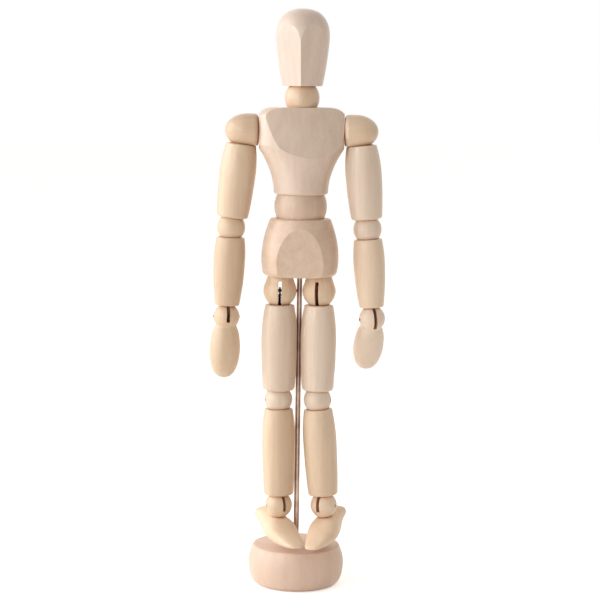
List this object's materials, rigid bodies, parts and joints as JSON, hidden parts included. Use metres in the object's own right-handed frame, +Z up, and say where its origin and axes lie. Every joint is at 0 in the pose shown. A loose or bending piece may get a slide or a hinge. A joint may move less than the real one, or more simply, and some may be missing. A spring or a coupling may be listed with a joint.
{
  "type": "wooden artist mannequin",
  "caption": "Jointed wooden artist figure standing on a rod and a round base, with turned limbs on slotted, pinned ball joints that pose and hold.",
  "frame": {"origin": "centre of the base's underside", "axes": "+Z up, the figure faces -Y, its own left side at +X; the rest pose is the pictured stance"},
  "size_m": [0.0925, 0.0539, 0.305],
  "materials": {
    "pale_wood": "sanded, bare",
    "pink_wood": "sanded, bare",
    "gold_wood": "sanded, bare",
    "rod_steel": "drawn, dull",
    "pin_steel": "dark",
    "wire": "spring wire"
  },
  "bodies": {
    "stand": {"base": "pale_wood", "rod": "rod_steel"},
    "pelvis": {"pelvis": "pale_wood"},
    "waist": {"waist": "pink_wood", "waist_pins": "pin_steel"},
    "chest": {"chest": "pink_wood", "waist_spring": "wire", "neck_spring": "wire", "shoulder_spring": "wire"},
    "neck": {"neck": "gold_wood", "neck_pins": "pin_steel"},
    "head": {"head": "pale_wood"},
    "right_shoulder": {"right_shoulder": "gold_wood", "right_shoulder_pins": "pin_steel"},
    "right_shoulder_hook": {"right_shoulder_hook": "wire"},
    "right_upper_arm": {"right_upper_arm": "pale_wood", "right_upper_arm_spring": "wire"},
    "right_elbow": {"right_elbow": "pale_wood", "right_elbow_pin": "pin_steel"},
    "right_forearm": {"right_forearm": "pale_wood", "right_forearm_spring": "wire"},
    "right_wrist_hook": {"right_wrist_hook": "wire"},
    "right_hand": {"right_hand": "gold_wood", "right_wrist_pin": "pin_steel"},
    "right_hip_ball": {"right_hip_ball": "pale_wood", "right_hip_pins": "pin_steel"},
    "right_thigh": {"right_thigh": "pale_wood", "right_thigh_spring": "wire"},
    "right_knee": {"right_knee": "pale_wood", "right_knee_pin": "pin_steel"},
    "right_shin": {"right_shin": "pale_wood", "right_shin_spring": "wire"},
    "right_ankle": {"right_ankle": "pale_wood", "right_ankle_pin": "pin_steel"},
    "right_foot": {"right_foot": "gold_wood"},
    "left_shoulder": {"left_shoulder": "gold_wood", "left_shoulder_pins": "pin_steel"},
    "left_shoulder_hook": {"left_shoulder_hook": "wire"},
    "left_upper_arm": {"left_upper_arm": "pink_wood", "left_upper_arm_spring": "wire"},
    "left_elbow": {"left_elbow": "pink_wood", "left_elbow_pin": "pin_steel"},
    "left_forearm": {"left_forearm": "pink_wood", "left_forearm_spring": "wire"},
    "left_wrist_hook": {"left_wrist_hook": "wire"},
    "left_hand": {"left_hand": "gold_wood", "left_wrist_pin": "pin_steel"},
    "left_hip_ball": {"left_hip_ball": "pale_wood", "left_hip_pins": "pin_steel"},
    "left_thigh": {"left_thigh": "pink_wood", "left_thigh_spring": "wire"},
    "left_knee": {"left_knee": "pink_wood", "left_knee_pin": "pin_steel"},
    "left_shin": {"left_shin": "pink_wood", "left_shin_spring": "wire"},
    "left_ankle": {"left_ankle": "pale_wood", "left_ankle_pin": "pin_steel"},
    "left_foot": {"left_foot": "gold_wood"}
  },
  "joints": [
    {"name": "stand_turn", "type": "hinge", "parent": "stand", "child": "pelvis", "pos_m": [0, 0, 0], "axis": [0, 0, 1], "continuous": true},
    {"name": "waist_turn", "type": "hinge", "parent": "pelvis", "child": "waist", "pos_m": [0, -0.005, 0.2026], "axis": [0, 0, 1], "range_deg": [-70, 70]},
    {"name": "chest_bend", "type": "hinge", "parent": "waist", "child": "chest", "pos_m": [0, -0.005, 0.2026], "axis": [1, 0, 0], "range_deg": [-12, 16]},
    {"name": "neck_nod", "type": "hinge", "parent": "chest", "child": "neck", "pos_m": [0, -0.005, 0.259], "axis": [1, 0, 0], "range_deg": [-15, 20]},
    {"name": "head_turn", "type": "hinge", "parent": "neck", "child": "head", "pos_m": [0, -0.005, 0.259], "axis": [0, 0, 1], "range_deg": [-80, 80]},
    {"name": "right_shoulder_turn", "type": "hinge", "parent": "chest", "child": "right_shoulder", "pos_m": [-0.0307, -0.005, 0.2418], "axis": [-1, 0, 0], "continuous": true},
    {"name": "right_arm_raise", "type": "hinge", "parent": "right_shoulder", "child": "right_shoulder_hook", "pos_m": [-0.0307, -0.005, 0.2418], "axis": [0, 1, 0], "range_deg": [0, 85]},
    {"name": "right_arm_twist", "type": "hinge", "parent": "right_shoulder_hook", "child": "right_upper_arm", "pos_m": [-0.0307, -0.005, 0.2418], "axis": [0.1097, 0, 0.994], "range_deg": [-90, 90]},
    {"name": "right_elbow_upper", "type": "hinge", "parent": "right_upper_arm", "child": "right_elbow", "pos_m": [-0.0363, -0.005, 0.19111], "axis": [-0.994, 0, 0.1097], "range_deg": [0, 30]},
    {"name": "right_elbow_lower", "type": "hinge", "parent": "right_elbow", "child": "right_forearm", "pos_m": [-0.0363, -0.005, 0.19111], "axis": [-0.994, 0, 0.1097], "range_deg": [0, 30]},
    {"name": "right_wrist_swing", "type": "hinge", "parent": "right_wrist_hook", "child": "right_hand", "pos_m": [-0.03827, -0.005, 0.14395], "axis": [-0.9773, -0.2079, 0.041], "range_deg": [-50, 50]},
    {"name": "right_hip_swing", "type": "hinge", "parent": "right_hip_ball", "child": "right_thigh", "pos_m": [-0.0103, -0.005, 0.1581], "axis": [-1, 0, 0], "range_deg": [0, 75]},
    {"name": "right_knee_upper", "type": "hinge", "parent": "right_thigh", "child": "right_knee", "pos_m": [-0.0103, -0.005, 0.1002], "axis": [0.9397, 0.342, 0], "range_deg": [0, 30]},
    {"name": "right_knee_lower", "type": "hinge", "parent": "right_knee", "child": "right_shin", "pos_m": [-0.0103, -0.005, 0.1002], "axis": [0.9397, 0.342, 0], "range_deg": [0, 30]},
    {"name": "right_ankle_swing", "type": "hinge", "parent": "right_shin", "child": "right_ankle", "pos_m": [-0.0095, -0.005, 0.04321], "axis": [-0.8745, -0.4848, -0.0122], "range_deg": [-3, 16]},
    {"name": "right_hip_turn", "type": "hinge", "parent": "pelvis", "child": "right_hip_ball", "pos_m": [-0.0103, -0.005, 0.1581], "axis": [0, 0, -1], "range_deg": [0, 30]},
    {"name": "right_ankle_turn", "type": "hinge", "parent": "right_ankle", "child": "right_foot", "pos_m": [-0.0095, -0.005, 0.04321], "axis": [-0.0241, 0.0686, -0.9974], "range_deg": [0, 30]},
    {"name": "left_shoulder_turn", "type": "hinge", "parent": "chest", "child": "left_shoulder", "pos_m": [0.0307, -0.005, 0.2418], "axis": [-1, 0, 0], "continuous": true},
    {"name": "left_arm_raise", "type": "hinge", "parent": "left_shoulder", "child": "left_shoulder_hook", "pos_m": [0.0307, -0.005, 0.2418], "axis": [0, -1, 0], "range_deg": [0, 85]},
    {"name": "left_arm_twist", "type": "hinge", "parent": "left_shoulder_hook", "child": "left_upper_arm", "pos_m": [0.0307, -0.005, 0.2418], "axis": [0.0872, 0, -0.9962], "range_deg": [-90, 90]},
    {"name": "left_elbow_upper", "type": "hinge", "parent": "left_upper_arm", "child": "left_elbow", "pos_m": [0.03514, -0.005, 0.19099], "axis": [-0.9962, 0, -0.0872], "range_deg": [0, 30]},
    {"name": "left_elbow_lower", "type": "hinge", "parent": "left_elbow", "child": "left_forearm", "pos_m": [0.03514, -0.005, 0.19099], "axis": [-0.9962, 0, -0.0872], "range_deg": [0, 30]},
    {"name": "left_wrist_swing", "type": "hinge", "parent": "left_wrist_hook", "child": "left_hand", "pos_m": [0.03844, -0.005, 0.14391], "axis": [-0.9589, -0.2756, -0.0671], "range_deg": [-18, 80]},
    {"name": "left_hip_swing", "type": "hinge", "parent": "left_hip_ball", "child": "left_thigh", "pos_m": [0.0103, -0.005, 0.1581], "axis": [-0.9848, 0.1736, 0], "range_deg": [0, 75]},
    {"name": "left_knee_upper", "type": "hinge", "parent": "left_thigh", "child": "left_knee", "pos_m": [0.0103, -0.005, 0.1002], "axis": [0.9397, -0.342, 0], "range_deg": [0, 30]},
    {"name": "left_knee_lower", "type": "hinge", "parent": "left_knee", "child": "left_shin", "pos_m": [0.0103, -0.005, 0.1002], "axis": [0.9397, -0.342, 0], "range_deg": [0, 30]},
    {"name": "left_ankle_swing", "type": "hinge", "parent": "left_shin", "child": "left_ankle", "pos_m": [0.01447, -0.005, 0.04335], "axis": [-0.8723, 0.4848, -0.0641], "range_deg": [-3, 16]},
    {"name": "left_hip_turn", "type": "hinge", "parent": "pelvis", "child": "left_hip_ball", "pos_m": [0.0103, -0.005, 0.1581], "axis": [0, 0, 1], "range_deg": [0, 30]},
    {"name": "left_ankle_turn", "type": "hinge", "parent": "left_ankle", "child": "left_foot", "pos_m": [0.01447, -0.005, 0.04335], "axis": [-0.1109, -0.0686, 0.9915], "range_deg": [0, 30]},
    {"name": "right_wrist_twist", "type": "hinge", "parent": "right_forearm", "child": "right_wrist_hook", "pos_m": [-0.03827, -0.005, 0.14395], "axis": [0.0419, 0, 0.9991], "range_deg": [-90, 90]},
    {"name": "left_wrist_twist", "type": "hinge", "parent": "left_forearm", "child": "left_wrist_hook", "pos_m": [0.03844, -0.005, 0.14391], "axis": [0.0698, 0, -0.9976], "range_deg": [-90, 90]}
  ]
}
